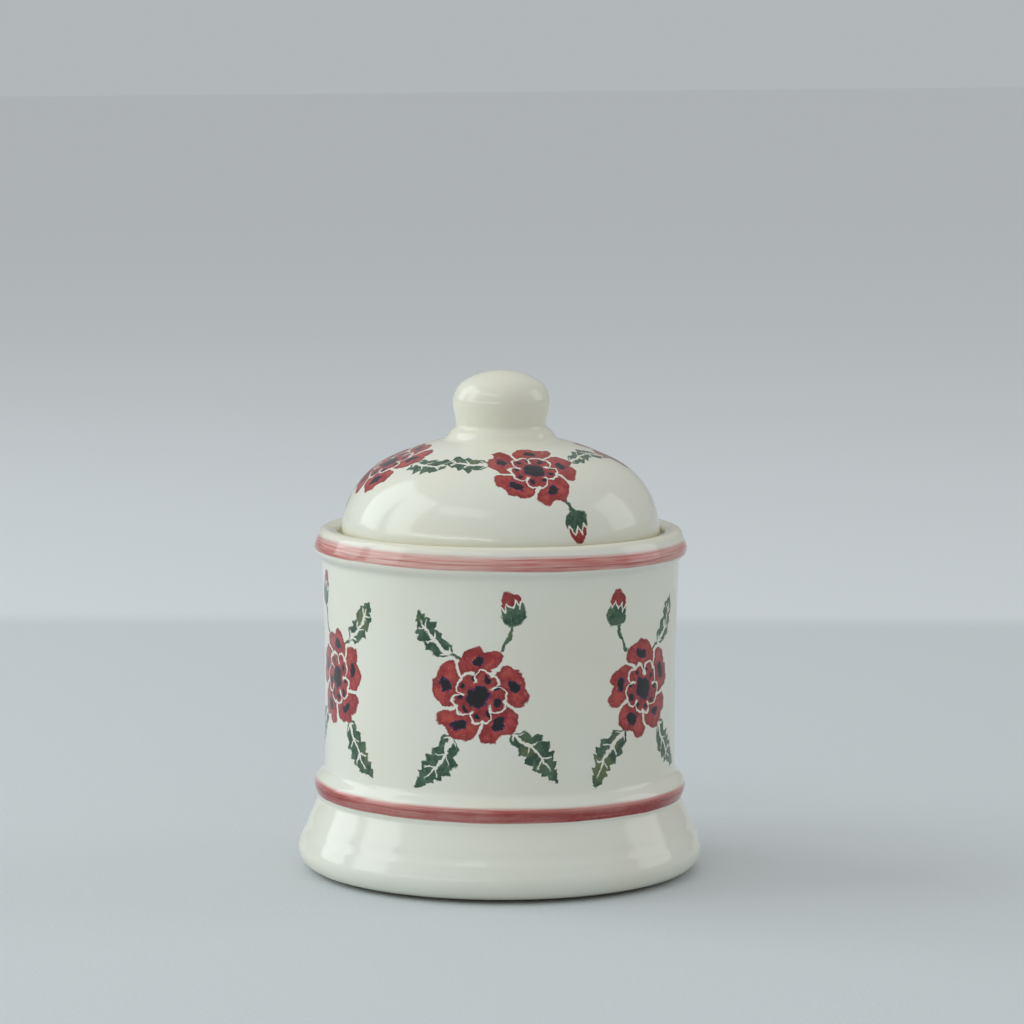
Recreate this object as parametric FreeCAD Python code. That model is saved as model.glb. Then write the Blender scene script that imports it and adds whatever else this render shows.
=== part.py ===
import FreeCAD, Part
import math
import os

# A glazed pot for jam with a domed lid. Sizes are in millimetres and heights are above the table.
# The origin is the middle of the foot, +Z is up, and the notch for a spoon points along +X.

# Foot: a flat ring stands on the table. Outside it the clay lifts a little and rounds over the toe
# into a flank that leans in towards the bead.
foot_radius = 47.5
toe_height = 5.3
toe_bend = 4.6
foot_ring_inset = 8.0
foot_ring_bend = 3.0
foot_ring_width = 3.0
foot_ring_edge = 0.8
base_recess = 2.2
recess_corner = 1.5

# Wall of the pot. It opens out a little over the last stretch below the rim.
wall_radius = 41.2
wall_thickness = 5.0
wall_opening_drop = 30.7
wall_opening_bend = 120.0
floor_height = 6.5
floor_corner = 8.0

# Bead between the foot and the wall, with a groove under it and a cove over it. Each is joined to the
# bead by a short straight.
bead_height = 20.3
bead_proud = 2.4
bead_bend = 3.2
under_bead_straight = 1.8
under_bead_proud = 1.5
under_bead_bend = 0.8
over_bead_straight = 1.0
over_bead_bend = 2.2

# Rim: a roll that stands proud of the wall, with a throat under it and a rounded top.
rim_height = 80.7
roll_drop = 4.6
roll_proud = 2.45
roll_bend = 2.2
throat_straight = 0.8
throat_proud = 0.6
throat_bend = 1.4
rim_top_inset = 1.05
rim_top_bend = 1.7
rim_width = 5.45
rim_inner_drop = 0.3
rim_inner_bend = 1.2

# Gallery: the step inside the rim that the lid sits in, and the ledge that carries the lid's edge.
gallery_depth = 2.5
gallery_corner = 0.6
seat_width = 0.85
ledge_edge = 0.6
ledge_underside_straight = 1.6
ledge_underside_bend = 6.0

# Lid: a hollow dome, a flat crown joined to a rounder shoulder.
lid_clearance = 0.95
lid_thickness = 4.0
lid_edge_bend = 1.2
lid_inner_edge = 0.8
shoulder_rise = 1.34
shoulder_bend = 19.0
crown_bend = 60.0

# Knob on the lid. A cove rises from the crown to a small collar, and the neck and the knob stand on
# it. Straights join them. The cap flattens the knob's top, and rises a little over its round side.
neck_radius = 10.5
neck_bend = 1.2
neck_straight = 1.1
collar_bend = 0.6
collar_straight = 1.1
cove_proud = 4.1
cove_bend = 2.5
knob_proud = 0.85
knob_bend = 6.0
knob_straight = 3.9
cap_rise = 1.4

# Notch in the lid's edge, which a spoon's handle passes through. Its height is above the rim. The
# block that cuts it reaches in past the lid's wall, and runs over a little outside and below.
notch_width = 11.5
notch_height = 6.3
notch_corner = 3.0
notch_reach = 12.0
notch_overrun = 1.0

# Points of an outline nearer than this are the same point.
same_point = 1e-6

# Sizes that follow from the ones above.
pot_inner_radius = wall_radius - wall_thickness
gallery_radius = wall_radius + roll_proud - rim_width
ledge_height = rim_height - gallery_depth
lid_radius = gallery_radius - lid_clearance
shoulder_centre = lid_radius - shoulder_bend
shoulder_height = ledge_height + shoulder_rise
crown_centre = shoulder_height - math.sqrt((crown_bend - shoulder_bend) ** 2 - shoulder_centre ** 2)
crown_height = crown_centre + crown_bend


def beside(heading):
    # One step to the right of someone who walks along the outline.
    return FreeCAD.Vector(math.sin(heading), 0, -math.cos(heading))


def rise_between(across, sizes, straight):
    # How far one bend's centre is above the next one's, when they turn opposite ways and a straight joins
    # them. Their centres are this far apart sideways, and their two sizes are added up.
    return math.sqrt(sizes ** 2 + straight ** 2 - across ** 2)


def profile_face(bends):
    # The outline leaves the axis level, runs round the clay with the clay on its left, and comes back
    # to the axis level. Each bend is (centre radius, centre height, size). A size above zero turns left,
    # one below zero turns right, and zero is a sharp corner. Straight lines touch each pair of bends.
    headings = [0.0]
    for (radius, height, size), (next_radius, next_height, next_size) in zip(bends, bends[1:]):
        towards = math.atan2(next_height - height, next_radius - radius)
        apart = math.hypot(next_radius - radius, next_height - height)
        headings.append(towards + math.asin(round((size - next_size) / apart, 9)))
    headings.append(math.pi)
    corners = []
    edges = []
    for (radius, height, size), arriving, leaving in zip(bends, headings, headings[1:]):
        centre = FreeCAD.Vector(radius, 0, height)
        turn = math.remainder(leaving - arriving, 2 * math.pi)
        start = centre + beside(arriving) * size
        middle = centre + beside(arriving + turn / 2) * size
        end = centre + beside(leaving) * size
        if corners and corners[-1].distanceToPoint(start) > same_point:
            edges.append(Part.makeLine(corners[-1], start))
        if start.distanceToPoint(end) > same_point:
            edges.append(Part.Arc(start, middle, end).toShape())
        corners += [start, end]
    edges.append(Part.makeLine(corners[-1], corners[0]))
    return Part.Face(Part.Wire(edges))


def turned(bends):
    # The solid that the outline makes when it is turned about the Z axis.
    return profile_face(bends).revolve(FreeCAD.Vector(0, 0, 0), FreeCAD.Vector(0, 0, 1), 360)


def foot_bends():
    # Underside of the base, the ring it stands on and the rounded toe.
    ring_outside = foot_radius - foot_ring_inset
    ring_inside = ring_outside - foot_ring_width
    return [
        (0, base_recess, 0),
        (ring_inside - recess_corner, base_recess - recess_corner, -recess_corner),
        (ring_inside + foot_ring_edge, foot_ring_edge, foot_ring_edge),
        (ring_outside, foot_ring_bend, foot_ring_bend),
        (foot_radius - toe_bend, toe_height, toe_bend),
    ]


def bead_bends():
    # The groove under the bead, the bead itself and the cove that leads up into the wall.
    bead_centre = wall_radius + bead_proud - bead_bend
    groove_centre = wall_radius + under_bead_proud + under_bead_bend
    cove_centre = wall_radius + over_bead_bend
    groove_drop = rise_between(
        groove_centre - bead_centre, bead_bend + under_bead_bend, under_bead_straight)
    cove_rise = rise_between(
        cove_centre - bead_centre, bead_bend + over_bead_bend, over_bead_straight)
    return [
        (groove_centre, bead_height - groove_drop, -under_bead_bend),
        (bead_centre, bead_height, bead_bend),
        (cove_centre, bead_height + cove_rise, -over_bead_bend),
    ]


def rim_bends():
    # The wall's slight opening, the throat under the roll, the roll and the top of the rim.
    roll_radius = wall_radius + roll_proud
    roll_height = rim_height - roll_drop
    throat_centre = wall_radius + throat_proud + throat_bend
    throat_drop = rise_between(
        throat_centre - (roll_radius - roll_bend), roll_bend + throat_bend, throat_straight)
    return [
        (wall_radius + wall_opening_bend, rim_height - wall_opening_drop, -wall_opening_bend),
        (throat_centre, roll_height - throat_drop, -throat_bend),
        (roll_radius - roll_bend, roll_height, roll_bend),
        (roll_radius - rim_top_inset - rim_top_bend, rim_height - rim_top_bend, rim_top_bend),
        (gallery_radius + rim_inner_bend, rim_height - rim_inner_drop - rim_inner_bend, rim_inner_bend),
    ]


def inside_bends():
    # The gallery that holds the lid, the ledge's underside, the inside of the wall and the floor.
    edge_centre = lid_radius - lid_edge_bend - seat_width
    underside_centre = pot_inner_radius - ledge_underside_bend
    underside_drop = rise_between(
        edge_centre - underside_centre, ledge_edge + ledge_underside_bend, ledge_underside_straight)
    return [
        (gallery_radius - gallery_corner, ledge_height + gallery_corner, -gallery_corner),
        (edge_centre, ledge_height - ledge_edge, ledge_edge),
        (underside_centre, ledge_height - ledge_edge - underside_drop, -ledge_underside_bend),
        (pot_inner_radius - floor_corner, floor_height + floor_corner, -floor_corner),
        (0, floor_height, 0),
    ]


def dome_bends():
    # The hollow under the dome, the lid's lower edge, and the shoulder and crown over it.
    return [
        (0, crown_centre, lid_thickness - crown_bend),
        (shoulder_centre, shoulder_height, lid_thickness - shoulder_bend),
        (lid_radius - lid_thickness + lid_inner_edge, ledge_height + lid_inner_edge, lid_inner_edge),
        (lid_radius - lid_edge_bend, ledge_height + lid_edge_bend, lid_edge_bend),
        (shoulder_centre, shoulder_height, shoulder_bend),
        (0, crown_centre, crown_bend),
    ]


def knob_bends():
    # The cove that rests on the crown, the collar, the neck and the knob with its cap.
    cove_centre = neck_radius + cove_proud
    cove_height = crown_centre + math.sqrt((crown_bend + cove_bend) ** 2 - cove_centre ** 2)
    collar_centre = cove_centre - rise_between(
        cove_height - crown_height, cove_bend + collar_bend, collar_straight)
    neck_centre = neck_radius + neck_bend
    neck_height = crown_height + rise_between(
        neck_centre - collar_centre, collar_bend + neck_bend, neck_straight)
    knob_centre = neck_radius + knob_proud - knob_bend
    knob_height = neck_height + rise_between(
        neck_centre - knob_centre, neck_bend + knob_bend, knob_straight)
    top_height = knob_height + knob_bend + cap_rise
    cap_bend = (knob_centre ** 2 + cap_rise ** 2 + 2 * cap_rise * knob_bend) / (2 * cap_rise)
    return [
        (cove_centre, cove_height, -cove_bend),
        (collar_centre, crown_height, collar_bend),
        (neck_centre, neck_height, -neck_bend),
        (knob_centre, knob_height, knob_bend),
        (0, top_height - cap_bend, cap_bend),
    ]


def spoon_notch():
    # The block that is cut out of the lid's edge. Its two upper corners are rounded.
    inner_end = lid_radius - notch_reach
    bottom = ledge_height - notch_overrun
    top = rim_height + notch_height
    corner = FreeCAD.Vector(inner_end, -notch_width / 2, bottom)
    block = Part.makeBox(notch_reach + notch_overrun, notch_width, top - bottom, corner)
    long_edges = [edge for edge in block.Edges if edge.BoundBox.XLength > notch_reach]
    upper_edges = [edge for edge in long_edges if edge.CenterOfMass.z > rim_height]
    return block.makeFillet(notch_corner, upper_edges)


def pot():
    return turned(foot_bends() + bead_bends() + rim_bends() + inside_bends())


def lid():
    return turned(dome_bends() + knob_bends()).cut(spoon_notch())


os.makedirs("parts", exist_ok=True)
pot().exportStep("parts/pot.step")
lid().exportStep("parts/lid.step")
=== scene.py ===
import math

import bpy
from mathutils import Matrix, Vector


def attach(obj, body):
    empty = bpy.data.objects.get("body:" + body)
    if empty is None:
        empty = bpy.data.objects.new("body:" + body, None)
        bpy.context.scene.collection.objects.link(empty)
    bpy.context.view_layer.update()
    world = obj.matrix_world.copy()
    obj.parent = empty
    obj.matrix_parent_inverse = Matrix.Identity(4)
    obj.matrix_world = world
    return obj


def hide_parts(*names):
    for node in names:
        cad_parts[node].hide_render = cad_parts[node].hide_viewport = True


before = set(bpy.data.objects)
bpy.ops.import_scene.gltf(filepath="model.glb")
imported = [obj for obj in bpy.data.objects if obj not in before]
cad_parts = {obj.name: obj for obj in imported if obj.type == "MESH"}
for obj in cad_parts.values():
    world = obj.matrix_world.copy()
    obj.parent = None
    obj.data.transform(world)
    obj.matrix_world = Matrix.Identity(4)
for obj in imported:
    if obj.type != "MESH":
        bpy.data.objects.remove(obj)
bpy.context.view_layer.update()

mm = 0.001
print("frame loaded:", ", ".join(sorted(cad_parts)))

# the camera comes first, so that every look is from the same spot
cameraSettings = {
    "turn": -38.0,  # degrees round the pot, 0 looks along +Y
    "away": 1.0016,
    "aside": 0.0026,
    "height": 0.1988,
    "tiltDown": 6.533,
    "roll": 0.228,
    "lens": 151.5,
    "sensor": 36.0,
    "nearest": 0.05,
    "farthest": 50.0,
}


def placeCamera(settings):
    turn = math.radians(settings["turn"])
    right = Vector((math.cos(turn), math.sin(turn), 0))
    ahead = Vector((-math.sin(turn), math.cos(turn), 0))
    spot = right * settings["aside"] - ahead * settings["away"]
    spot.z = settings["height"]
    bpy.ops.object.camera_add()
    camera = bpy.context.object
    camera.name = "potCamera"
    camera.data.lens = settings["lens"]
    camera.data.sensor_width = settings["sensor"]
    camera.data.clip_start = settings["nearest"]
    camera.data.clip_end = settings["farthest"]
    facing = Matrix.Rotation(turn, 4, "Z")
    tilted = Matrix.Rotation(math.radians(90 - settings["tiltDown"]), 4, "X")
    rolled = Matrix.Rotation(math.radians(settings["roll"]), 4, "Z")
    camera.matrix_world = Matrix.Translation(spot) @ facing @ tilted @ rolled
    bpy.context.scene.camera = camera
    return right, ahead


cameraRight, cameraAhead = placeCamera(cameraSettings)
print("camera placed")


# turning clay: an outline is bends joined by the straight lines that touch them
outlineGap = 1e-3  # mm, nearer points of an outline count as one
seamGap = 2e-6  # metres, nearer vertices are merged at the poles and the seam


def beside(heading):
    # the direction from a bend's centre to its skin, for a line that runs along heading
    return math.sin(heading), -math.cos(heading)


def fillRun(start, end, spacing):
    parts = math.ceil(math.dist(start, end) / spacing)
    return [tuple(a + (b - a) * n / parts for a, b in zip(start, end)) for n in range(1, parts)]


def outlinePoints(bends, spacing, arcStep):
    headings = [0.0]
    for (radius, height, size), (nextRadius, nextHeight, nextSize) in zip(bends, bends[1:]):
        towards = math.atan2(nextHeight - height, nextRadius - radius)
        apart = math.hypot(nextRadius - radius, nextHeight - height)
        # bends that touch from inside can come out a hair past 1
        lean = max(-1.0, min(1.0, (size - nextSize) / apart))
        headings.append(towards + math.asin(lean))
    headings.append(math.pi)
    points = []
    for (radius, height, size), arriving, leaving in zip(bends, headings, headings[1:]):
        turn = math.remainder(leaving - arriving, 2 * math.pi)
        steps = max(math.ceil(abs(turn) / arcStep), math.ceil(abs(turn * size) / spacing))
        if size == 0:
            steps = 0
        for step in range(steps + 1):
            outwards, upwards = beside(arriving + turn * step / max(steps, 1))
            point = (max(radius + outwards * size, 0.0), height + upwards * size)
            if step == 0 and points:
                points += fillRun(points[-1], point, spacing)
            if not points or math.dist(point, points[-1]) > outlineGap:
                points.append(point)
    return points


def deselectAll():
    if bpy.context.object and bpy.context.object.mode != "OBJECT":
        bpy.ops.object.mode_set(mode="OBJECT")
    bpy.ops.object.select_all(action="DESELECT")


def throwOnWheel(name, points, steps):
    deselectAll()
    bpy.ops.mesh.primitive_plane_add(size=mm)
    piece = bpy.context.object
    piece.name = name
    piece.data.name = name
    bpy.ops.object.mode_set(mode="EDIT")
    bpy.ops.mesh.select_all(action="SELECT")
    bpy.ops.mesh.merge(type="CENTER")
    spots = [Vector((radius * mm, 0, height * mm)) for radius, height in points]
    bpy.ops.transform.translate(value=spots[0])
    for here, there in zip(spots, spots[1:]):
        bpy.ops.mesh.extrude_region_move(TRANSFORM_OT_translate={"value": there - here})
    bpy.ops.mesh.select_all(action="SELECT")
    bpy.ops.mesh.spin(steps=steps, angle=2 * math.pi, center=(0, 0, 0), axis=(0, 0, 1))
    bpy.ops.mesh.select_all(action="SELECT")
    bpy.ops.mesh.remove_doubles(threshold=seamGap)
    bpy.ops.mesh.normals_make_consistent(inside=False)
    bpy.ops.object.mode_set(mode="OBJECT")
    return piece


def pressUneven(piece, reach, s):
    # the slight unevenness of a hand-finished wall, in and out alike, most where reach gives 1
    group = piece.vertex_groups.new(name="uneven")
    for vertex in piece.data.vertices:
        weight = reach(math.hypot(vertex.co.x, vertex.co.y) / mm, vertex.co.z / mm, s)
        if weight > 0:
            group.add([vertex.index], weight, "REPLACE")
    texture = bpy.data.textures.new(piece.name + "Uneven", "CLOUDS")
    texture.noise_scale = s["unevenSize"] * mm
    texture.noise_depth = 1
    press = piece.modifiers.new("uneven", "DISPLACE")
    press.texture = texture
    press.texture_coords = "LOCAL"
    press.vertex_group = "uneven"
    press.mid_level = 0.5
    press.strength = s["unevenDepth"] * mm
    bpy.context.view_layer.objects.active = piece
    bpy.ops.object.modifier_apply(modifier=press.name)


def fadeBetween(value, low, high):
    return max(0.0, min(1.0, (value - low) / (high - low)))


def smoothSkin(piece, angle):
    deselectAll()
    piece.select_set(True)
    bpy.context.view_layer.objects.active = piece
    bpy.ops.object.shade_smooth_by_angle(angle=math.radians(angle))


potShape = {
    # each bend: centre radius, centre height, size in mm; plus turns left, minus turns right, 0 is sharp
    "base": [(0, 2.2, 0), (35.0, 0.7, -1.5), (37.3, 0.8, 0.8), (39.5, 3.0, 3.0), (42.9, 5.3, 4.6)],
    "bead": [(43.5, 17.197, -0.8), (40.4, 20.3, 3.2), (43.4, 24.9, -2.2)],
    "wall": [(161.2, 50.0, -120.0), (43.2, 72.854, -1.4)],
    "rim": [(41.45, 76.1, 2.2), (40.9, 79.0, 1.7), (39.4, 79.2, 1.2)],
    "gallery": [(37.6, 78.8, -0.6), (35.2, 77.6, 0.6), (30.2, 73.004, -6.0)],
    "inside": [(28.2, 14.5, -8.0), (0, 6.5, 0)],
    "spacing": 1.1,
    "arcStep": math.radians(13),
    "steps": 256,
    "shrink": 0.9995,  # keeps the faceted turn inside the model's box
    "ridgeInside": 42.0,  # only the foot's outer face is further out than this
    "ridgeBottom": 5.6,
    "ridgePitch": 3.1,
    "ridgeCount": 2,
    "ridgeDepth": 0.22,
    "unevenSize": 17.0,
    "unevenDepth": 0.13,
    "unevenInside": 37.5,  # radius, nothing nearer the middle is uneven
    "unevenFoot": (9.0, 16.0),  # heights where the unevenness is none and full
    "unevenRim": (79.5, 74.0),
    "smoothAngle": 60,
}


def footRidges(points, s):
    # the turner's tool leaves a few shallow rings round the foot
    top = s["ridgeBottom"] + s["ridgePitch"] * s["ridgeCount"]
    ridged = []
    for radius, height in points:
        if radius > s["ridgeInside"] and s["ridgeBottom"] < height < top:
            wave = 0.5 - 0.5 * math.cos(2 * math.pi * (height - s["ridgeBottom"]) / s["ridgePitch"])
            radius -= s["ridgeDepth"] * wave
        ridged.append((radius, height))
    return ridged


def potReach(radius, height, s):
    if radius < s["unevenInside"]:
        return 0
    return fadeBetween(height, *s["unevenFoot"]) * fadeBetween(height, *s["unevenRim"])


def makePot(s):
    bends = s["base"] + s["bead"] + s["wall"] + s["rim"] + s["gallery"] + s["inside"]
    points = footRidges(outlinePoints(bends, s["spacing"], s["arcStep"]), s)
    points = [(radius * s["shrink"], height) for radius, height in points]
    piece = throwOnWheel("potBody", points, s["steps"])
    pressUneven(piece, potReach, s)
    smoothSkin(piece, s["smoothAngle"])
    return piece


potBody = makePot(potShape)
print("pot thrown:", len(potBody.data.polygons), "faces")


lidShape = {
    "hollow": [(0, 42.826, -56.0), (18.25, 79.54, -15.0)],
    "edge": [(34.05, 79.0, 0.8), (36.05, 79.4, 1.2)],
    "dome": [(18.25, 79.54, 19.0), (0, 42.826, 60.0)],
    "collar": [(14.6, 103.597, -2.5), (11.402, 102.826, 0.6), (11.7, 104.914, -1.2)],
    "knob": [(5.35, 110.084, 6.0), (0, 100.55, 16.922)],
    "spacing": 0.9,
    "arcStep": math.radians(13),
    "steps": 256,
    "shrink": 0.9995,
    "notchWidth": 11.5,
    "notchBottom": 77.0,
    "notchTop": 87.0,
    "notchCorner": 3.0,
    "notchSegments": 8,
    "notchOuter": 38.25,
    "notchReach": 14.0,
    "unevenSize": 15.0,
    "unevenDepth": 0.13,
    "hollowMiddle": 62.0,
    "hollowReach": 39.0,  # nothing this near the hollow's middle is uneven
    "unevenEdge": (79.5, 84.0),  # heights where the unevenness is none and full
    "unevenCap": (114.0, 108.0),
    "smoothAngle": 50,
}


def lidReach(radius, height, s):
    if math.hypot(radius, height - s["hollowMiddle"]) < s["hollowReach"]:
        return 0
    return fadeBetween(height, *s["unevenEdge"]) * fadeBetween(height, *s["unevenCap"])


def cutNotch(piece, s):
    # a block with two rounded upper corners, taken out of the edge on the +X side
    size = Vector((s["notchReach"], s["notchWidth"], s["notchTop"] - s["notchBottom"])) * mm
    deselectAll()
    middle = Vector((s["notchOuter"] * mm - size.x / 2, 0, s["notchBottom"] * mm + size.z / 2))
    bpy.ops.mesh.primitive_cube_add(size=1, location=middle)
    block = bpy.context.object
    block.scale = size
    bpy.ops.object.transform_apply(location=True, rotation=True, scale=True)
    bpy.ops.object.mode_set(mode="EDIT")
    bpy.ops.mesh.select_all(action="DESELECT")
    bpy.ops.object.mode_set(mode="OBJECT")
    vertices = block.data.vertices
    for edge in block.data.edges:
        a, b = (vertices[n].co for n in edge.vertices)
        edge.select = abs(a.x - b.x) > size.x / 2 and min(a.z, b.z) > middle.z
    bpy.ops.object.mode_set(mode="EDIT")
    bpy.ops.mesh.select_mode(type="EDGE")
    bpy.ops.mesh.bevel(offset=s["notchCorner"] * mm, segments=s["notchSegments"])
    bpy.ops.object.mode_set(mode="OBJECT")
    cut = piece.modifiers.new("notch", "BOOLEAN")
    cut.object = block
    cut.operation = "DIFFERENCE"
    cut.solver = "EXACT"
    bpy.context.view_layer.objects.active = piece
    bpy.ops.object.modifier_apply(modifier=cut.name)
    bpy.data.objects.remove(block)


def makeLid(s):
    bends = s["hollow"] + s["edge"] + s["dome"] + s["collar"] + s["knob"]
    points = outlinePoints(bends, s["spacing"], s["arcStep"])
    points = [(radius * s["shrink"], height) for radius, height in points]
    piece = throwOnWheel("potLid", points, s["steps"])
    pressUneven(piece, lidReach, s)
    cutNotch(piece, s)
    smoothSkin(piece, s["smoothAngle"])
    return piece


potLid = makeLid(lidShape)
print("lid thrown:", len(potLid.data.polygons), "faces")


def srgb(red, green, blue):
    # a colour as it is picked on screen, 0 to 255, turned into the shader's numbers
    def straight(value):
        value /= 255
        return value / 12.92 if value <= 0.04045 else ((value + 0.055) / 1.055) ** 2.4
    return (straight(red), straight(green), straight(blue), 1.0)


def put(tree, kind, inputs=None, **settings):
    node = tree.nodes.new(kind)
    for name, value in settings.items():
        setattr(node, name, value)
    for key, value in (inputs or {}).items():
        if isinstance(value, bpy.types.NodeSocket):
            tree.links.new(value, node.inputs[key])
        else:
            node.inputs[key].default_value = value
    return node


def calc(tree, operation, *values):
    return put(tree, "ShaderNodeMath", dict(enumerate(values)), operation=operation).outputs[0]


def soften(tree, value, low, high):
    sockets = {"Value": value, "From Min": low, "From Max": high}
    return put(tree, "ShaderNodeMapRange", sockets, interpolation_type="SMOOTHSTEP").outputs["Result"]


def scaleTo(tree, value, low, high):
    sockets = {"Value": value, "To Min": low, "To Max": high}
    return put(tree, "ShaderNodeMapRange", sockets).outputs["Result"]


def hypotenuse(tree, one, other):
    return calc(tree, "SQRT", calc(tree, "MULTIPLY_ADD", one, one, calc(tree, "MULTIPLY", other, other)))


def combine(tree, one, oneFactor, other, otherFactor):
    # one * oneFactor + other * otherFactor
    return calc(tree, "MULTIPLY_ADD", one, oneFactor, calc(tree, "MULTIPLY", other, otherFactor))


def turned(tree, across, up, cosine, sine):
    # across and up, measured along axes that are turned by the angle
    along = combine(tree, across, cosine, up, sine)
    side = calc(tree, "SUBTRACT", calc(tree, "MULTIPLY", up, cosine), calc(tree, "MULTIPLY", across, sine))
    return along, side


mixSockets = {"amount": 0, "under": 6, "over": 7, "result": 2}  # the Mix node's places for colours


def lay(tree, under, over, amount):
    sockets = {mixSockets["amount"]: amount, mixSockets["under"]: under, mixSockets["over"]: over}
    return put(tree, "ShaderNodeMix", sockets, data_type="RGBA").outputs[mixSockets["result"]]


def grain(tree, vector, scale, detail=2.0, roughness=0.5):
    sockets = {"Vector": vector, "Scale": scale, "Detail": detail, "Roughness": roughness}
    return put(tree, "ShaderNodeTexNoise", sockets).outputs["Fac"]


def startGroup(name, inputs, outputs):
    group = bpy.data.node_groups.new(name, "ShaderNodeTree")
    for item in inputs:
        group.interface.new_socket(name=item, in_out="INPUT", socket_type="NodeSocketFloat")
    for item in outputs:
        group.interface.new_socket(name=item, in_out="OUTPUT", socket_type="NodeSocketFloat")
    source = group.nodes.new("NodeGroupInput").outputs
    target = group.nodes.new("NodeGroupOutput").inputs
    return group, source, target


# painted leaf, blossom and bud: across and up are in mm from the blossom's middle
leafLook = {
    "toothPitch": 2.7,
    "toothDepth": 0.34,
    "toothSlant": 0.75,
    "fullness": 0.7,  # less is fuller
    "baseWidth": 1.25,  # shares of the half width, at the base and lost by the tip
    "tipLoss": 0.5,
    "bend": 1.6,
    "ribWidth": 0.544,
    "ribRunsOut": 1.1,  # share of the length where the rib would narrow to nothing
    "ribEnd": (0.74, 0.84),  # shares of the length where it is painted over
    "veinWidth": 0.24,
    "veinPitch": 1.6,  # teeth to a vein
    "veinShift": 0.3,
    "veinReach": (0.62, 0.78),  # shares of the half width
    "veinEnd": (0.7, 0.8),
    "lineEdge": 0.12,
    "bladeEdge": 0.3,
    "bladeStart": (0.0, 0.02),
    "bladeEnd": (1.0, 0.98),
    "stalkWidth": (0.62, 0.36),
    "stalkStart": (-3.6, -3.2),
    "stalkEnd": (0.06, 0.0),
}


def makeLeafGroup(look):
    inputs = ["across", "up", "baseAcross", "baseUp", "angle", "length", "width"]
    t, given, out = startGroup("paintedLeaf", inputs, ["leaf"])
    x = calc(t, "SUBTRACT", given["across"], given["baseAcross"])
    y = calc(t, "SUBTRACT", given["up"], given["baseUp"])
    cosine = calc(t, "COSINE", given["angle"])
    sine = calc(t, "SINE", given["angle"])
    along, side = turned(t, x, y, cosine, sine)
    share = calc(t, "DIVIDE", along, given["length"])
    # 0 at the leaf's ends, 1 half-way
    arch = calc(t, "MULTIPLY", calc(t, "MULTIPLY", share, calc(t, "SUBTRACT", 1.0, share)), 4.0)
    side = calc(t, "SUBTRACT", side, calc(t, "MULTIPLY", arch, look["bend"]))
    side = calc(t, "ABSOLUTE", side)
    hump = calc(t, "POWER", calc(t, "MAXIMUM", arch, 0.0), look["fullness"])
    lean = calc(t, "SUBTRACT", look["baseWidth"], calc(t, "MULTIPLY", share, look["tipLoss"]))
    reach = calc(t, "MULTIPLY", calc(t, "MULTIPLY", hump, lean), given["width"])
    slanted = calc(t, "SUBTRACT", along, calc(t, "MULTIPLY", side, look["toothSlant"]))
    tooth = calc(t, "FRACT", calc(t, "DIVIDE", slanted, look["toothPitch"]))
    bite = calc(t, "SUBTRACT", 1.0, calc(t, "MULTIPLY", tooth, look["toothDepth"]))
    reach = calc(t, "MULTIPLY", reach, bite)
    blade = soften(t, calc(t, "SUBTRACT", reach, side), 0.0, look["bladeEdge"])
    blade = calc(t, "MULTIPLY", blade, soften(t, share, *look["bladeStart"]))
    blade = calc(t, "MULTIPLY", blade, soften(t, share, *look["bladeEnd"]))
    ribEdge = calc(t, "MULTIPLY", calc(t, "SUBTRACT", look["ribRunsOut"], share), look["ribWidth"])
    rib = soften(t, calc(t, "SUBTRACT", side, ribEdge), -look["lineEdge"], look["lineEdge"])
    rib = calc(t, "MAXIMUM", rib, soften(t, share, *look["ribEnd"]))
    veinPitch = look["toothPitch"] * look["veinPitch"]
    veinPlace = calc(t, "ADD", calc(t, "DIVIDE", slanted, veinPitch), look["veinShift"])
    fromVein = calc(t, "ABSOLUTE", calc(t, "SUBTRACT", calc(t, "FRACT", veinPlace), 0.5))
    veinOff = calc(t, "SUBTRACT", calc(t, "MULTIPLY", fromVein, veinPitch), look["veinWidth"])
    vein = soften(t, veinOff, -look["lineEdge"], look["lineEdge"])
    # the small sum saves dividing by nothing at the leaf's ends
    veinReach = soften(t, calc(t, "DIVIDE", side, calc(t, "ADD", reach, 0.01)), *look["veinReach"])
    vein = calc(t, "MAXIMUM", vein, veinReach)
    vein = calc(t, "MAXIMUM", vein, soften(t, share, *look["veinEnd"]))
    leaf = calc(t, "MULTIPLY", calc(t, "MULTIPLY", blade, rib), vein)
    stalk = soften(t, side, *look["stalkWidth"])
    stalk = calc(t, "MULTIPLY", stalk, soften(t, along, *look["stalkStart"]))
    stalk = calc(t, "MULTIPLY", stalk, soften(t, share, *look["stalkEnd"]))
    t.links.new(calc(t, "MAXIMUM", leaf, stalk), out["leaf"])
    return t


blossomLook = {
    "petals": 5,
    "outer": 12.4,
    "inner": 6.4,
    "outerNotch": 0.9,  # how deep each petal's outer edge is dented
    "innerNotch": 0.5,
    "notchSpread": 0.25,  # share of a petal's half width
    "cornerPower": 4.0,
    "cornerLoss": 0.3,
    "twist": 0.014,
    "gap": (0.27, 0.57),  # mm from the next petal where the colour is none and full
    "innerGap": (0.2, 0.45),
    "innerJoin": (3.9, 3.2),  # inner petals run together inside this
    "ringGap": (-0.28, -0.55),
    "outerEdge": 0.4,
    "innerEdge": 0.3,
    "deepRim": (2.2, 0.3),  # the colour gathers towards a petal's rim
    "heart": 2.5,
    "heartEdge": (0.7, -0.5),
    "fleckPlace": 8.6,
    "fleckLong": 1.5,
    "fleckWide": 2.0,
    "fleckEdge": (1.15, 0.55),
    "stamens": 9,
    "stamenPlace": 4.7,
    "stamenEdge": (0.95, 0.5),
    "ragged": 2.6,  # mm that the dark marks' edges wander
    "fleckRagged": 0.5,  # shares of it
    "stamenRagged": 0.2,
}


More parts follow.
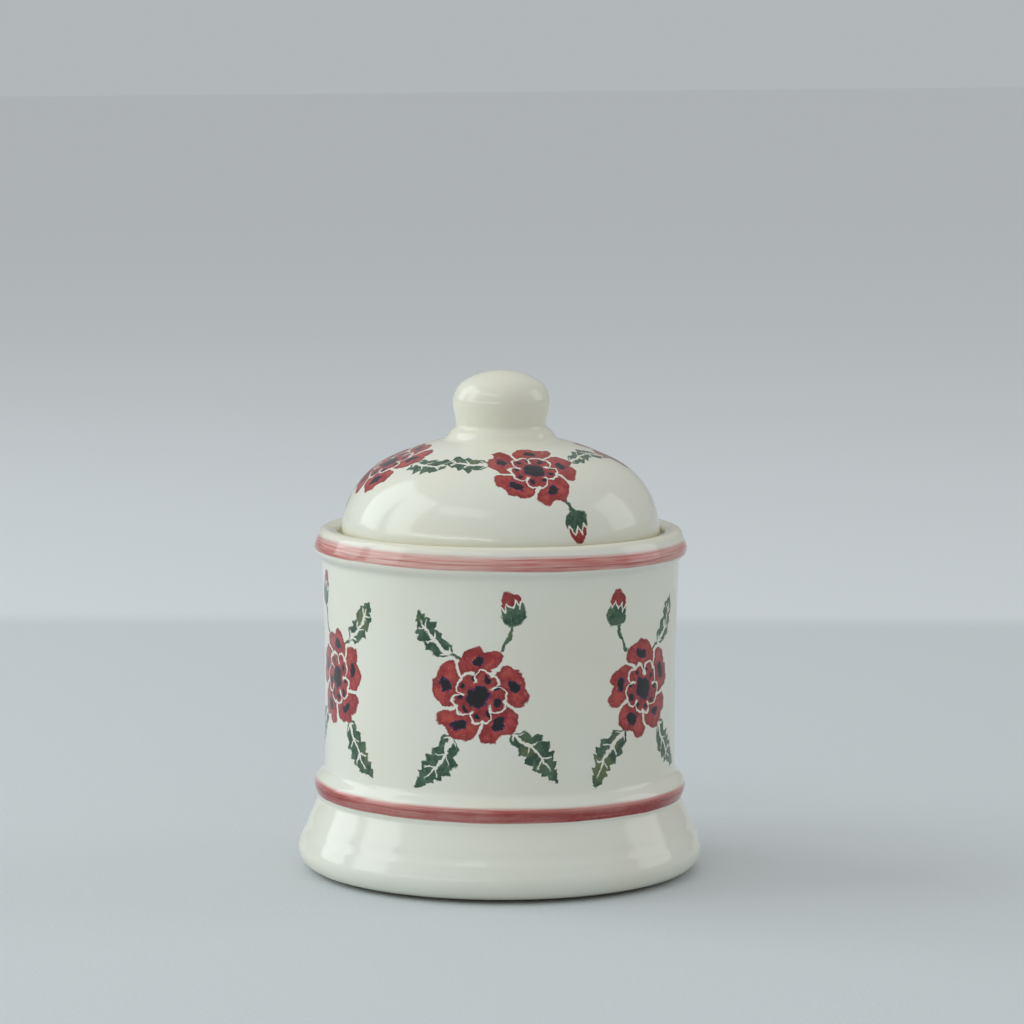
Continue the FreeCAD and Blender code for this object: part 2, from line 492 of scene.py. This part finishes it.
def makeBlossomGroup(look):
    t, given, out = startGroup("paintedBlossom", ["across", "up", "rough"], ["petals", "dark", "edge"])
    x = given["across"]
    y = given["up"]
    away = hypotenuse(t, x, y)
    angle = calc(t, "ARCTAN2", y, x)
    turns = calc(t, "MULTIPLY", angle, look["petals"] / (2 * math.pi))
    turns = calc(t, "ADD", turns, calc(t, "MULTIPLY", away, look["twist"] * look["petals"] / 2))
    wedge = math.pi / look["petals"]

    def petalRing(shift, size, notch):
        # how far across a petal (0 to 1), how far inside its rim, and how far from the next petal
        fold = calc(t, "FRACT", calc(t, "ADD", turns, shift))
        fold = calc(t, "MULTIPLY", calc(t, "ABSOLUTE", calc(t, "SUBTRACT", fold, 0.5)), 2.0)
        corner = calc(t, "POWER", fold, look["cornerPower"])
        limit = calc(t, "SUBTRACT", size, calc(t, "MULTIPLY", corner, size * look["cornerLoss"]))
        dent = calc(t, "SUBTRACT", 1.0, calc(t, "DIVIDE", fold, look["notchSpread"]))
        dent = calc(t, "MAXIMUM", dent, 0.0)
        limit = calc(t, "SUBTRACT", limit, calc(t, "MULTIPLY", dent, notch))
        apart = calc(t, "MULTIPLY", calc(t, "MULTIPLY", calc(t, "SUBTRACT", 1.0, fold), away), wedge)
        return fold, calc(t, "SUBTRACT", limit, away), apart

    outerFold, outerRoom, outerApart = petalRing(0.0, look["outer"], look["outerNotch"])
    innerFold, innerRoom, innerApart = petalRing(0.5, look["inner"], look["innerNotch"])
    outerGap = soften(t, outerApart, *look["gap"])
    outer = calc(t, "MULTIPLY", soften(t, outerRoom, 0.0, look["outerEdge"]), outerGap)
    outer = calc(t, "MULTIPLY", outer, soften(t, innerRoom, *look["ringGap"]))
    innerGap = soften(t, innerApart, *look["innerGap"])
    innerGap = calc(t, "MAXIMUM", innerGap, soften(t, away, *look["innerJoin"]))
    inner = calc(t, "MULTIPLY", soften(t, innerRoom, 0.0, look["innerEdge"]), innerGap)
    t.links.new(calc(t, "MAXIMUM", outer, inner), out["petals"])
    rim = calc(t, "MINIMUM", calc(t, "ABSOLUTE", innerRoom), calc(t, "MINIMUM", outerRoom, outerApart))
    t.links.new(soften(t, rim, *look["deepRim"]), out["edge"])
    ragged = calc(t, "MULTIPLY", calc(t, "SUBTRACT", given["rough"], 0.5), look["ragged"])
    heart = calc(t, "SUBTRACT", calc(t, "ADD", away, ragged), look["heart"])
    heart = soften(t, heart, *look["heartEdge"])
    fleckOut = calc(t, "DIVIDE", calc(t, "SUBTRACT", away, look["fleckPlace"]), look["fleckLong"])
    fleckSide = calc(t, "MULTIPLY", calc(t, "MULTIPLY", outerFold, away), wedge)
    fleckSide = calc(t, "DIVIDE", fleckSide, look["fleckWide"])
    fleckSize = hypotenuse(t, fleckOut, fleckSide)
    fleckSize = calc(t, "ADD", fleckSize, calc(t, "MULTIPLY", ragged, look["fleckRagged"]))
    fleck = soften(t, fleckSize, *look["fleckEdge"])
    dotTurn = calc(t, "FRACT", calc(t, "MULTIPLY", angle, look["stamens"] / (2 * math.pi)))
    dotPitch = 2 * math.pi * look["stamenPlace"] / look["stamens"]
    dotSide = calc(t, "MULTIPLY", calc(t, "SUBTRACT", dotTurn, 0.5), dotPitch)
    dotOut = calc(t, "SUBTRACT", away, look["stamenPlace"])
    dotSize = hypotenuse(t, dotSide, dotOut)
    dotSize = calc(t, "ADD", dotSize, calc(t, "MULTIPLY", ragged, look["stamenRagged"]))
    dot = soften(t, dotSize, *look["stamenEdge"])
    t.links.new(calc(t, "MAXIMUM", calc(t, "MAXIMUM", heart, fleck), dot), out["dark"])
    return t


wallSprayLook = {
    # base across, base up, angle in degrees, length, half width
    "leaves": [(-7.0, -9.0, 229, 17.0, 4.0), (7.0, -9.2, -54, 17.5, 4.1), (-6.0, 10.5, 124, 14.0, 3.4)],
    "stemMiddle": (-4.0, 18.0),
    "stemSize": 13.0,
    "stemSpan": (10.5, 16.6),  # heights it runs between, on its right-hand side
    "bud": (9.6, 21.2),
    "budAngle": 100,
    "budLength": 4.9,
    "budWidth": 3.1,
}

lidSprayLook = {
    "leaves": [(-11.0, 1.5, 170, 17.0, 4.2), (11.0, 3.5, 17, 14.5, 3.6)],
    "stemMiddle": (1.0, -17.5),
    "stemSize": 9.5,
    "stemSpan": (-13.0, -9.6),
    "bud": (10.6, -17.0),
    "budAngle": -80,
    "budLength": 4.6,
    "budWidth": 3.0,
}

# how both sprays' stems and buds are drawn
stemAndBudLook = {
    "stemWidth": (0.62, 0.34),
    "stemSide": (4.0, 4.5),  # only the right-hand side of the stem's circle is drawn
    "stemEdge": 0.3,
    "taper": 0.35,
    "budEdge": (1.0, 0.9),
    "zigzagShift": 10.0,  # keeps the zigzag's argument above 0
    "zigzagDepth": 1.7,
    "cupEdge": (-0.45, -0.75),
    "tipEdge": (0.0, 0.3),
}


def makeSprayGroup(name, look, line, leafGroup, blossomGroup):
    t, given, out = startGroup(name, ["across", "up", "rough"], ["green", "red", "dark", "edge"])
    x = given["across"]
    y = given["up"]
    green = None
    for baseAcross, baseUp, angle, length, width in look["leaves"]:
        sockets = {"across": x, "up": y, "baseAcross": baseAcross, "baseUp": baseUp}
        sockets.update({"angle": math.radians(angle), "length": length, "width": width})
        leaf = put(t, "ShaderNodeGroup", sockets, node_tree=leafGroup).outputs["leaf"]
        green = leaf if green is None else calc(t, "MAXIMUM", green, leaf)
    middleX = calc(t, "SUBTRACT", x, look["stemMiddle"][0])
    middleY = calc(t, "SUBTRACT", y, look["stemMiddle"][1])
    fromMiddle = hypotenuse(t, middleX, middleY)
    fromStem = calc(t, "ABSOLUTE", calc(t, "SUBTRACT", fromMiddle, look["stemSize"]))
    stem = soften(t, fromStem, *line["stemWidth"])
    stem = calc(t, "MULTIPLY", stem, soften(t, middleX, *line["stemSide"]))
    low, high = look["stemSpan"]
    stem = calc(t, "MULTIPLY", stem, soften(t, y, low - line["stemEdge"], low))
    stem = calc(t, "MULTIPLY", stem, soften(t, y, high + line["stemEdge"], high))
    budTurn = math.radians(look["budAngle"])
    budX = calc(t, "SUBTRACT", x, look["bud"][0])
    budY = calc(t, "SUBTRACT", y, look["bud"][1])
    budAlong, budSide = turned(t, budX, budY, math.cos(budTurn), math.sin(budTurn))
    longShare = calc(t, "DIVIDE", budAlong, look["budLength"])
    sideShare = calc(t, "DIVIDE", budSide, look["budWidth"])
    taper = calc(t, "ADD", 1.0, calc(t, "MULTIPLY", longShare, line["taper"]))
    sideShare = calc(t, "MULTIPLY", sideShare, taper)
    bud = soften(t, hypotenuse(t, longShare, sideShare), *line["budEdge"])
    # a zigzag line parts the green cup from the red tip
    zigzag = calc(t, "PINGPONG", calc(t, "ADD", budSide, line["zigzagShift"]), 1.0)
    fromZigzag = calc(t, "SUBTRACT", budAlong, calc(t, "MULTIPLY", zigzag, line["zigzagDepth"]))
    cup = calc(t, "MULTIPLY", bud, soften(t, fromZigzag, *line["cupEdge"]))
    tip = calc(t, "MULTIPLY", bud, soften(t, fromZigzag, *line["tipEdge"]))
    green = calc(t, "MAXIMUM", green, calc(t, "MAXIMUM", stem, cup))
    sockets = {"across": x, "up": y, "rough": given["rough"]}
    blossom = put(t, "ShaderNodeGroup", sockets, node_tree=blossomGroup).outputs
    t.links.new(green, out["green"])
    t.links.new(calc(t, "MAXIMUM", blossom["petals"], tip), out["red"])
    t.links.new(blossom["dark"], out["dark"])
    t.links.new(blossom["edge"], out["edge"])
    return t


leafGroup = makeLeafGroup(leafLook)
blossomGroup = makeBlossomGroup(blossomLook)
wallSpray = makeSprayGroup("wallSpray", wallSprayLook, stemAndBudLook, leafGroup, blossomGroup)
lidSpray = makeSprayGroup("lidSpray", lidSprayLook, stemAndBudLook, leafGroup, blossomGroup)
print("painted motifs ready")


glazeColours = {
    "cream": srgb(231, 232, 220),
    "creamWarm": srgb(231, 226, 204),
    "honey": srgb(216, 206, 160),
    "leafDark": srgb(40, 74, 58),
    "leafLight": srgb(78, 106, 82),
    "leafTip": srgb(112, 120, 72),
    "brick": srgb(150, 38, 40),
    "brickLight": srgb(188, 78, 70),
    "brickDeep": srgb(112, 22, 30),
    "cobalt": srgb(30, 32, 96),
    "ink": srgb(8, 8, 16),
    "bandPale": srgb(222, 164, 156),
    "bandMid": srgb(184, 84, 78),
    "bandDeep": srgb(142, 30, 32),
    "biscuit": srgb(214, 196, 164),
}


def startGlaze(name):
    material = bpy.data.materials.new(name)
    material.use_nodes = True
    tree = material.node_tree
    tree.nodes.clear()
    place = put(tree, "ShaderNodeTexCoord").outputs["Object"]
    inMm = put(tree, "ShaderNodeVectorMath", {0: place, "Scale": 1 / mm}, operation="SCALE").outputs[0]
    parts = put(tree, "ShaderNodeSeparateXYZ", {0: inMm}).outputs
    return material, tree, inMm, parts["X"], parts["Y"], parts["Z"]


# a sponge never prints a clean edge; each pair is grains per mm, and the mm that the edge wanders over
spongeEdge = {"coarse": (0.28, 2.6), "fine": (1.3, 0.9), "coarseDetail": 1.0, "fineDetail": 2.0}


def wobble(t, inMm, across, up, s):
    for name in ("coarse", "fine"):
        scale, size = s[name]
        sockets = {"Vector": inMm, "Scale": scale, "Detail": s[name + "Detail"]}
        noise = put(t, "ShaderNodeTexNoise", sockets).outputs["Color"]
        channel = put(t, "ShaderNodeSeparateColor", {0: noise}).outputs
        across = calc(t, "MULTIPLY_ADD", calc(t, "SUBTRACT", channel[0], 0.5), size, across)
        up = calc(t, "MULTIPLY_ADD", calc(t, "SUBTRACT", channel[1], 0.5), size, up)
    return across, up


def repeatRound(t, x, y, count, startTurn):
    # the angle round the pot, folded into count equal sectors; gives the angle from the sector's middle
    angle = calc(t, "ARCTAN2", y, x)
    sector = calc(t, "DIVIDE", calc(t, "SUBTRACT", angle, math.radians(startTurn)), 2 * math.pi / count)
    shifted = calc(t, "ADD", sector, 0.5)
    number = calc(t, "FLOORED_MODULO", calc(t, "FLOOR", shifted), float(count))
    local = calc(t, "SUBTRACT", calc(t, "FRACT", shifted), 0.5)
    return calc(t, "MULTIPLY", local, 2 * math.pi / count), number


# how far each print strays, and how its colours lie
printLook = {
    "strayAcross": 0.8,
    "strayUp": 0.9,
    "strayTurn": 5,
    "rough": (0.8, 3.0, 0.6),  # grain's scale, detail and roughness, and so on below
    "mottle": (0.38, 4.0, 0.68),
    "mottleEdge": (0.38, 0.62),
    "pores": (2.2, 2.0, 0.6),
    "poreEdge": (0.24, 0.32),
    "tips": (0.16, 1.0),
    "tipEdge": (0.58, 0.72),
    "tipStrength": 0.6,
    "greenLeast": 0.6,  # colour left in the pores
    "redLeast": 0.7,
    "lightRed": 0.85,
    "deepRed": 0.45,
    "blueEdge": (0.15, 0.45),
    "blueStrength": 0.8,
    "inkEdge": (0.45, 0.75),
}


def printSpray(t, group, inMm, across, up, number, spray, look):
    # each print is turned and moved a little, and every other one is mirrored
    seed = calc(t, "ADD", number, spray["seed"])
    chance = put(t, "ShaderNodeTexWhiteNoise", {"W": seed}, noise_dimensions="1D")
    parts = put(t, "ShaderNodeSeparateColor", {0: chance.outputs["Color"]}).outputs
    flip = calc(t, "SUBTRACT", 1.0, calc(t, "MULTIPLY", calc(t, "MODULO", number, 2.0), 2.0))
    across = calc(t, "MULTIPLY", across, flip)
    across = calc(t, "ADD", across, scaleTo(t, parts[0], -look["strayAcross"], look["strayAcross"]))
    up = calc(t, "ADD", up, scaleTo(t, parts[1], -look["strayUp"], look["strayUp"]))
    stray = math.radians(look["strayTurn"])
    turn = scaleTo(t, parts[2], -stray, stray)
    cosine = calc(t, "MULTIPLY", calc(t, "COSINE", turn), 1 / spray["scale"])
    sine = calc(t, "MULTIPLY", calc(t, "SINE", turn), 1 / spray["scale"])
    across, up = turned(t, across, up, cosine, sine)
    across, up = wobble(t, inMm, across, up, spongeEdge)
    sockets = {"across": across, "up": up, "rough": grain(t, inMm, *look["rough"])}
    return put(t, "ShaderNodeGroup", sockets, node_tree=group).outputs


def paintSpray(t, inMm, colour, spray, keep, look, c):
    mottle = soften(t, grain(t, inMm, *look["mottle"]), *look["mottleEdge"])
    pores = soften(t, grain(t, inMm, *look["pores"]), *look["poreEdge"])
    tone = lay(t, c["leafDark"], c["leafLight"], mottle)
    tips = soften(t, grain(t, inMm, *look["tips"]), *look["tipEdge"])
    tone = lay(t, tone, c["leafTip"], calc(t, "MULTIPLY", tips, look["tipStrength"]))
    green = calc(t, "MULTIPLY", spray["green"], keep)
    green = calc(t, "MULTIPLY", green, calc(t, "MAXIMUM", pores, look["greenLeast"]))
    colour = lay(t, colour, tone, green)
    tone = lay(t, c["brick"], c["brickLight"], calc(t, "MULTIPLY", mottle, look["lightRed"]))
    tone = lay(t, tone, c["brickDeep"], calc(t, "MULTIPLY", spray["edge"], look["deepRed"]))
    red = calc(t, "MULTIPLY", spray["red"], keep)
    colour = lay(t, colour, tone, calc(t, "MULTIPLY", red, calc(t, "MAXIMUM", pores, look["redLeast"])))
    onPetal = calc(t, "MULTIPLY", spray["dark"], red)
    blue = calc(t, "MULTIPLY", soften(t, onPetal, *look["blueEdge"]), look["blueStrength"])
    colour = lay(t, colour, c["cobalt"], blue)
    return lay(t, colour, c["ink"], soften(t, onPetal, *look["inkEdge"]))


# a banding brush held against the turning pot: wet wash, streaks along it, one darker line
brushLook = {
    # noise drawn out along the turn: grains per mm along and upwards, detail, roughness
    "edge": (0.07, 0.3, 3.0, 0.5),
    "streak": (0.05, 2.2, 3.0, 0.6),
    "patch": (0.045, 0.15, 2.0, 0.5),
    "mottle": (0.8, 1.6, 3.0, 0.7),
    "edgeWander": 0.5,  # mm
    "streakEdge": (0.3, 0.7),
    "patchEdge": (0.36, 0.64),
    "mottleEdge": (0.35, 0.65),
    "bottomFade": 0.07,  # share of the band's height
    "outside": (39.6, 40.2),  # radius, from none to full
    "patchWash": 0.7,
    "mottleLeast": 0.8,
    "lineDrift": 0.14,
    "lineCore": 0.3,
    "lineLeast": 0.4,
}


def brushGrain(t, inMm, along, tall, detail, roughness):
    factors = (along, along, tall)
    place = put(t, "ShaderNodeVectorMath", {0: inMm, 1: factors}, operation="MULTIPLY").outputs[0]
    return grain(t, place, 1.0, detail, roughness)


def paintBand(t, inMm, colour, x, y, z, radius, band, look, c):
    side = math.radians(band["leanTowards"])
    across = combine(t, x, math.cos(side), y, math.sin(side))
    height = calc(t, "SUBTRACT", z, calc(t, "MULTIPLY", across, band["lean"]))
    edge = brushGrain(t, inMm, *look["edge"])
    height = calc(t, "MULTIPLY_ADD", calc(t, "SUBTRACT", edge, 0.5), look["edgeWander"], height)
    # 0 at the band's lower edge, 1 at its upper one
    limits = {"Value": height, "From Min": band["low"], "From Max": band["high"]}
    share = put(t, "ShaderNodeMapRange", limits, clamp=False).outputs["Result"]
    onBand = calc(t, "MULTIPLY", soften(t, share, 0.0, look["bottomFade"]), soften(t, share, *band["top"]))
    onBand = calc(t, "MULTIPLY", onBand, soften(t, radius, *look["outside"]))
    streak = soften(t, brushGrain(t, inMm, *look["streak"]), *look["streakEdge"])
    patch = soften(t, brushGrain(t, inMm, *look["patch"]), *look["patchEdge"])
    mottle = soften(t, brushGrain(t, inMm, *look["mottle"]), *look["mottleEdge"])
    pale = calc(t, "MAXIMUM", streak, calc(t, "MULTIPLY", patch, look["patchWash"]))
    tone = lay(t, c["bandMid"], c["bandPale"], calc(t, "MULTIPLY", pale, band["wash"]))
    heavy = soften(t, share, *band["heavy"])
    heavy = calc(t, "MULTIPLY", heavy, scaleTo(t, mottle, look["mottleLeast"], 1.0))
    heavy = calc(t, "MULTIPLY", heavy, scaleTo(t, patch, 1.0, band["heavyLeast"]))
    tone = lay(t, tone, c["bandDeep"], calc(t, "MULTIPLY", heavy, band["heavyStrength"]))
    drift = calc(t, "MULTIPLY", calc(t, "SUBTRACT", patch, 0.5), look["lineDrift"])
    fromLine = calc(t, "ABSOLUTE", calc(t, "SUBTRACT", calc(t, "SUBTRACT", share, drift), band["lineAt"]))
    line = soften(t, fromLine, band["lineWidth"], band["lineWidth"] * look["lineCore"])
    line = calc(t, "MULTIPLY", line, scaleTo(t, streak, 1.0, look["lineLeast"]))
    tone = lay(t, tone, c["bandDeep"], calc(t, "MULTIPLY", line, band["lineStrength"]))
    thick = calc(t, "SUBTRACT", 1.0, calc(t, "MULTIPLY", patch, streak))
    strength = scaleTo(t, thick, band["body"], 1.0)
    return lay(t, colour, tone, calc(t, "MULTIPLY", onBand, strength))


# what the glaze on both pieces has in common
glazeSkin = {
    "cloud": (0.035, 3.0),
    "cloudEdge": (0.35, 0.7),
    "glossGrain": (0.11, 3.0),
    "peel": (0.16, 2.0, 0.4),
    "peelDepth": 0.05,  # mm
    "ior": 1.5,
    "bareRoughness": 0.75,
}


def finishGlaze(t, inMm, colour, gloss, skin, bare=None):
    roughness = scaleTo(t, grain(t, inMm, *skin["glossGrain"]), *gloss)
    if bare is not None:
        roughness = calc(t, "MAXIMUM", roughness, calc(t, "MULTIPLY", bare, skin["bareRoughness"]))
    peel = grain(t, inMm, *skin["peel"])
    dents = {"Strength": 1.0, "Distance": skin["peelDepth"] * mm, "Height": peel}
    normal = put(t, "ShaderNodeBump", dents).outputs[0]
    sockets = {"Base Color": colour, "Roughness": roughness, "Normal": normal, "IOR": skin["ior"]}
    shader = put(t, "ShaderNodeBsdfPrincipled", sockets)
    put(t, "ShaderNodeOutputMaterial", {"Surface": shader.outputs[0]})


potGlazeSettings = {
    "repeats": 6,
    "firstAt": -134.0,
    "sprayHeight": 47.0,
    "wallMiddle": 41.2,
    "spray": {"seed": 3.0, "scale": 0.93},
    "wallOutside": (39.5, 40.0),  # radius and heights where the prints are none and full
    "wallFoot": (24.5, 25.5),
    "wallRim": (73.5, 73.0),
    "rimBand": {
        "low": 75.35, "high": 79.3, "top": (1.0, 0.7), "lean": -0.011, "leanTowards": -38,
        "wash": 0.9, "body": 0.62,
        "heavy": (0.5, 0.1), "heavyLeast": 0.3, "heavyStrength": 0.32,
        "lineAt": 0.34, "lineWidth": 0.1, "lineStrength": 0.5,
    },
    "beadBand": {
        "low": 18.0, "high": 21.95, "top": (1.0, 0.78), "lean": -0.007, "leanTowards": -38,
        "wash": 0.8, "body": 0.85,
        "heavy": (0.85, 0.55), "heavyLeast": 0.62, "heavyStrength": 0.9,
        "lineAt": 0.52, "lineWidth": 0.09, "lineStrength": 0.6,
    },
    "cloudWarmth": 0.5,
    "rimTop": (79.2, 80.4),
    "rimWarmth": 0.7,
    "cornerHeight": 78.0,
    "cornerSpread": (1.0, 0.2),
    "cornerInside": (38.6, 38.0),
    "cornerHoney": 0.5,
    "bareBelow": (0.75, 0.45),
    "bareGrain": (0.5, 3.0),
    "bareEdge": (0.1, 0.2),
    "gloss": (0.07, 0.13),
}


def makePotGlaze(s, c):
    material, t, inMm, x, y, z = startGlaze("potGlaze")
    radius = hypotenuse(t, x, y)
    cloud = soften(t, grain(t, inMm, *glazeSkin["cloud"]), *glazeSkin["cloudEdge"])
    colour = lay(t, c["cream"], c["creamWarm"], calc(t, "MULTIPLY", cloud, s["cloudWarmth"]))
    rimTop = calc(t, "MULTIPLY", soften(t, z, *s["rimTop"]), s["rimWarmth"])
    colour = lay(t, colour, c["creamWarm"], rimTop)
    # the glaze runs together and goes honey-coloured in the corner of the gallery
    fromCorner = calc(t, "ABSOLUTE", calc(t, "SUBTRACT", z, s["cornerHeight"]))
    yellowing = soften(t, fromCorner, *s["cornerSpread"])
    yellowing = calc(t, "MULTIPLY", yellowing, soften(t, radius, *s["cornerInside"]))
    colour = lay(t, colour, c["honey"], calc(t, "MULTIPLY", yellowing, s["cornerHoney"]))
    local, number = repeatRound(t, x, y, s["repeats"], s["firstAt"])
    across = calc(t, "MULTIPLY", local, s["wallMiddle"])
    up = calc(t, "SUBTRACT", z, s["sprayHeight"])
    onWall = calc(t, "MULTIPLY", soften(t, radius, *s["wallOutside"]), soften(t, z, *s["wallFoot"]))
    onWall = calc(t, "MULTIPLY", onWall, soften(t, z, *s["wallRim"]))
    spray = printSpray(t, wallSpray, inMm, across, up, number, s["spray"], printLook)
    colour = paintSpray(t, inMm, colour, spray, onWall, printLook, c)
    for band in (s["rimBand"], s["beadBand"]):
        colour = paintBand(t, inMm, colour, x, y, z, radius, band, brushLook, c)
    # the ring that the pot stands on is wiped bare
    patchy = soften(t, grain(t, inMm, *s["bareGrain"]), *s["bareEdge"])
    bare = calc(t, "MULTIPLY", soften(t, z, *s["bareBelow"]), patchy)
    colour = lay(t, colour, c["biscuit"], bare)
    finishGlaze(t, inMm, colour, s["gloss"], glazeSkin, bare)
    return material


lidGlazeSettings = {
    "repeats": 4,
    "firstAt": -112.0,
    "domeMiddle": 62.0,
    "domeRadius": 42.0,
    "sprayLift": 52.0,  # degrees above level, seen from the dome's middle
    "spray": {"seed": 11.0, "scale": 0.86},
    "domeOutside": (38.6, 39.2),  # distances from its middle and axis where the prints are none and full
    "domeCollar": (14.0, 15.0),
    "cloudWarmth": (0.05, 0.45),
    "knobFrom": (95.0, 104.0),
    "knobWarmth": 0.35,
    "edgeBelow": (81.3, 79.4),
    "edgeHoney": 0.6,
    "gloss": (0.09, 0.15),
}


def makeLidGlaze(s, c):
    material, t, inMm, x, y, z = startGlaze("lidGlaze")
    radius = hypotenuse(t, x, y)
    cloud = soften(t, grain(t, inMm, *glazeSkin["cloud"]), *glazeSkin["cloudEdge"])
    onKnob = calc(t, "MULTIPLY", soften(t, z, *s["knobFrom"]), s["knobWarmth"])
    warmth = calc(t, "ADD", scaleTo(t, cloud, *s["cloudWarmth"]), onKnob)
    colour = lay(t, c["cream"], c["creamWarm"], warmth)
    # the lid's glaze turns yellower towards its lower edge
    yellowing = calc(t, "MULTIPLY", soften(t, z, *s["edgeBelow"]), s["edgeHoney"])
    colour = lay(t, colour, c["honey"], yellowing)
    local, number = repeatRound(t, x, y, s["repeats"], s["firstAt"])
    across = calc(t, "MULTIPLY", local, radius)
    lifted = calc(t, "SUBTRACT", z, s["domeMiddle"])
    rise = calc(t, "ARCTAN2", lifted, radius)
    up = calc(t, "MULTIPLY", calc(t, "SUBTRACT", rise, math.radians(s["sprayLift"])), s["domeRadius"])
    outside = soften(t, hypotenuse(t, radius, lifted), *s["domeOutside"])
    onDome = calc(t, "MULTIPLY", outside, soften(t, radius, *s["domeCollar"]))
    spray = printSpray(t, lidSpray, inMm, across, up, number, s["spray"], printLook)
    colour = paintSpray(t, inMm, colour, spray, onDome, printLook, c)
    finishGlaze(t, inMm, colour, s["gloss"], glazeSkin)
    return material


potBody.data.materials.clear()
potBody.data.materials.append(makePotGlaze(potGlazeSettings, glazeColours))
potLid.data.materials.clear()
potLid.data.materials.append(makeLidGlaze(lidGlazeSettings, glazeColours))
print("glazes done")


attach(potBody, "root")
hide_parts("pot")
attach(potLid, "root")
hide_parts("lid")


# a pale table that runs back to a slightly paler board
stageSettings = {
    "size": 17.0,
    "boardAway": 0.418,
    "tableColour": srgb(210, 215, 217),
    "boardColour": srgb(226, 230, 232),
    "farColour": srgb(178, 183, 185),
    "boardEdge": 0.02,
    "speckleColour": srgb(198, 203, 206),
    "speckleGrain": (900.0, 3.0, 0.7),
    "speckleEdge": (0.2, 0.8),
    "speckleStrength": 0.25,
    "speckleDepth": 0.0002,
    "roughness": 0.7,
    "skyColour": (0.97, 0.99, 1.0, 1.0),
    "skyStrength": (0.33, 0.7),  # light from the horizon and from straight above
}


def makeTable(s):
    deselectAll()
    bpy.ops.mesh.primitive_plane_add(size=s["size"])
    table = bpy.context.object
    table.name = "table"
    material = bpy.data.materials.new("tablePaint")
    material.use_nodes = True
    t = material.node_tree
    t.nodes.clear()
    place = put(t, "ShaderNodeTexCoord").outputs["Object"]
    parts = put(t, "ShaderNodeSeparateXYZ", {0: place}).outputs
    back = combine(t, parts["X"], cameraAhead.x, parts["Y"], cameraAhead.y)
    onBoard = soften(t, back, s["boardAway"] - s["boardEdge"], s["boardAway"] + s["boardEdge"])
    colour = lay(t, s["tableColour"], s["boardColour"], onBoard)
    speckle = soften(t, grain(t, place, *s["speckleGrain"]), *s["speckleEdge"])
    colour = lay(t, colour, s["speckleColour"], calc(t, "MULTIPLY", speckle, s["speckleStrength"]))
    dents = {"Strength": s["speckleStrength"], "Distance": s["speckleDepth"], "Height": speckle}
    bump = put(t, "ShaderNodeBump", dents)
    skin = {"Base Color": colour, "Roughness": s["roughness"], "Normal": bump.outputs[0]}
    paint = put(t, "ShaderNodeBsdfPrincipled", skin)
    put(t, "ShaderNodeOutputMaterial", {"Surface": paint.outputs[0]})
    table.data.materials.append(material)


def makeWorld(s):
    world = bpy.data.worlds.new("studio")
    bpy.context.scene.world = world
    world.use_nodes = True
    t = world.node_tree
    t.nodes.clear()
    seen = put(t, "ShaderNodeLightPath").outputs["Is Camera Ray"]
    sky = put(t, "ShaderNodeTexCoord").outputs["Generated"]
    lift = put(t, "ShaderNodeSeparateXYZ", {0: sky}).outputs["Z"]
    strength = scaleTo(t, lift, *s["skyStrength"])
    light = put(t, "ShaderNodeBackground", {"Color": s["skyColour"], "Strength": strength})
    shown = put(t, "ShaderNodeBackground", {"Color": s["farColour"], "Strength": 1.0})
    mixed = put(t, "ShaderNodeMixShader", {0: seen, 1: light.outputs[0], 2: shown.outputs[0]})
    put(t, "ShaderNodeOutputWorld", {"Surface": mixed.outputs[0]})


makeTable(stageSettings)
makeWorld(stageSettings)

windowAim = Vector((0, 0, 0.06))  # the lamps face the pot's middle
windowSettings = {
    # degrees round from the front (minus is left), degrees up, distance, width, height, watts, colour
    "nearWindow": (-80, 28, 1.4, 0.58, 1.2, 4.6, (0.9, 0.98, 1.0)),
    "farWindow": (-112, 28, 1.4, 0.58, 1.2, 4.2, (0.9, 0.98, 1.0)),
    "frontStrip": (-36, 9, 1.5, 1.9, 0.08, 2.1, (0.94, 0.99, 1.0)),
    "frontCard": (-32, 44, 1.4, 0.85, 0.3, 1.1, (0.92, 0.98, 1.0)),
    "rightCard": (102, 23, 1.4, 0.7, 0.8, 2.0, (0.94, 0.99, 1.0)),
}


def hangWindows(settings):
    for name, (azimuth, lift, away, width, height, watts, colour) in settings.items():
        turn = math.radians(azimuth)
        flat = -cameraAhead * math.cos(turn) + cameraRight * math.sin(turn)
        direction = flat * math.cos(math.radians(lift)) + Vector((0, 0, math.sin(math.radians(lift))))
        bpy.ops.object.light_add(type="AREA", location=direction * away + windowAim)
        lamp = bpy.context.object
        lamp.name = name
        lamp.data.shape = "RECTANGLE"
        lamp.data.size = width
        lamp.data.size_y = height
        lamp.data.energy = watts
        lamp.data.color = colour
        lamp.rotation_euler = direction.to_track_quat("Z", "Y").to_euler()


hangWindows(windowSettings)
bpy.context.scene.view_settings.view_transform = "Standard"
print("stage and windows ready")
